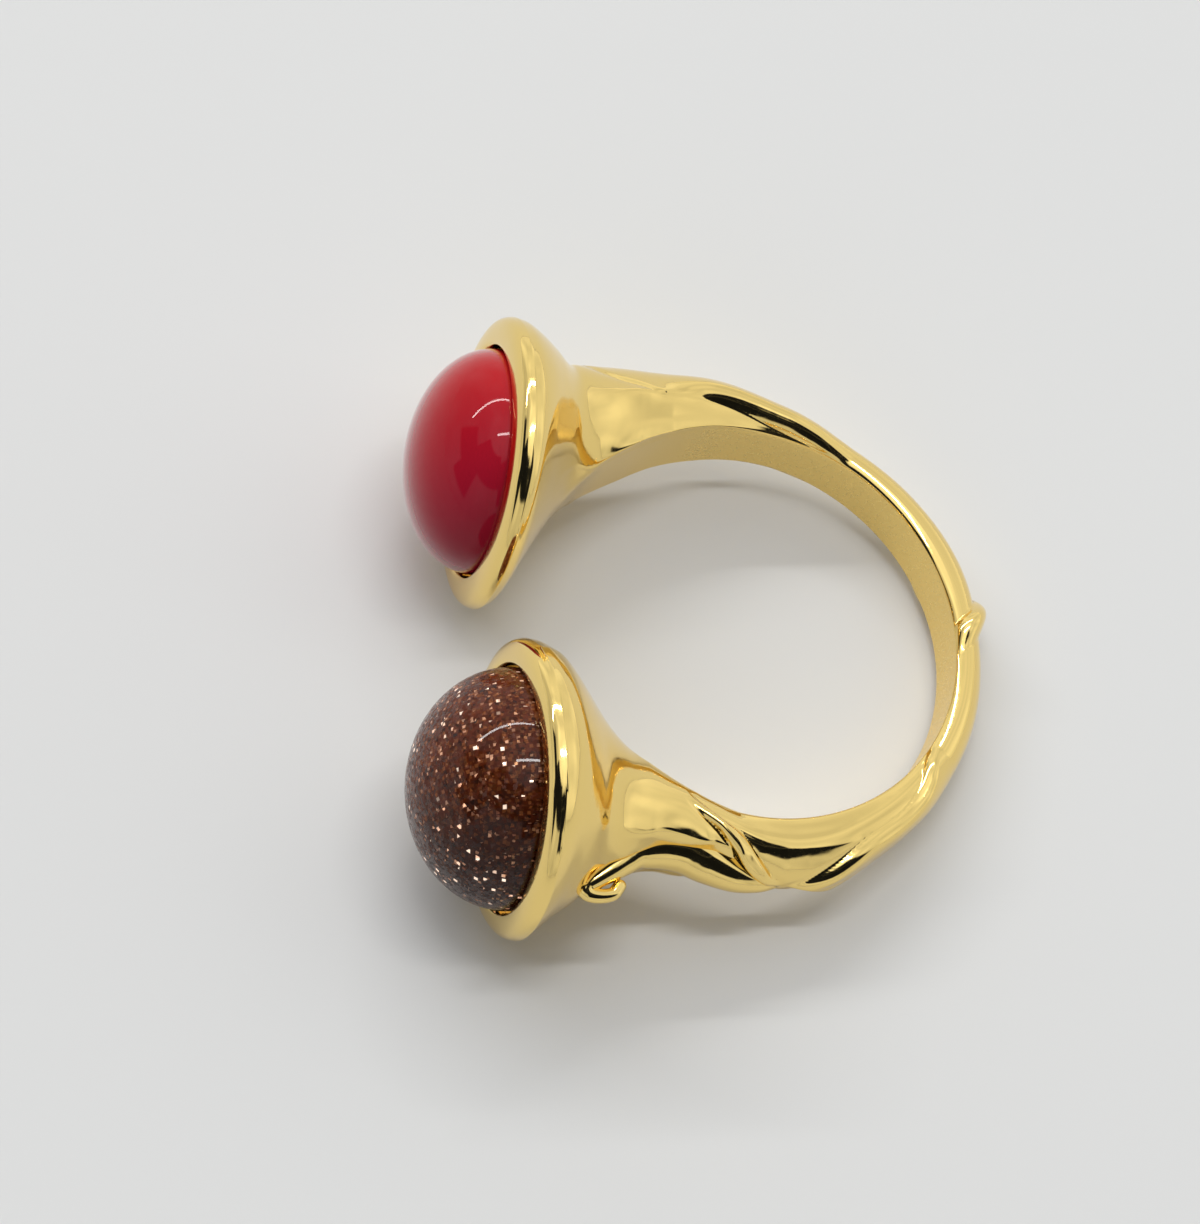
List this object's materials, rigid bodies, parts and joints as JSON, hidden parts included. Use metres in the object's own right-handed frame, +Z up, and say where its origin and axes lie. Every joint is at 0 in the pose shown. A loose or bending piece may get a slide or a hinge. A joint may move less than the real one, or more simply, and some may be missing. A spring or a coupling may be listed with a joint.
{
  "type": "adjustable ring",
  "caption": "Open gold-coloured finger ring whose band ends in a flared cup at each side, each cup holding a round polished cabochon stone.",
  "frame": {"origin": "middle of the underside of the ring's box as it lies on its side, on the surface that carries it", "axes": "+Z up from that surface, across the width of the tipped ring; +Y from the lower cup toward the upper cup; -X toward the stones"},
  "size_m": [0.024, 0.0256, 0.0114],
  "materials": {
    "gold": "polished gold plate, satin inside the band",
    "red_stone": "glossy polished",
    "goldstone": "glossy polished with copper glitter"
  },
  "bodies": {
    "root": {"band": "gold", "red_stone": "red_stone", "goldstone": "goldstone"}
  },
  "joints": []
}
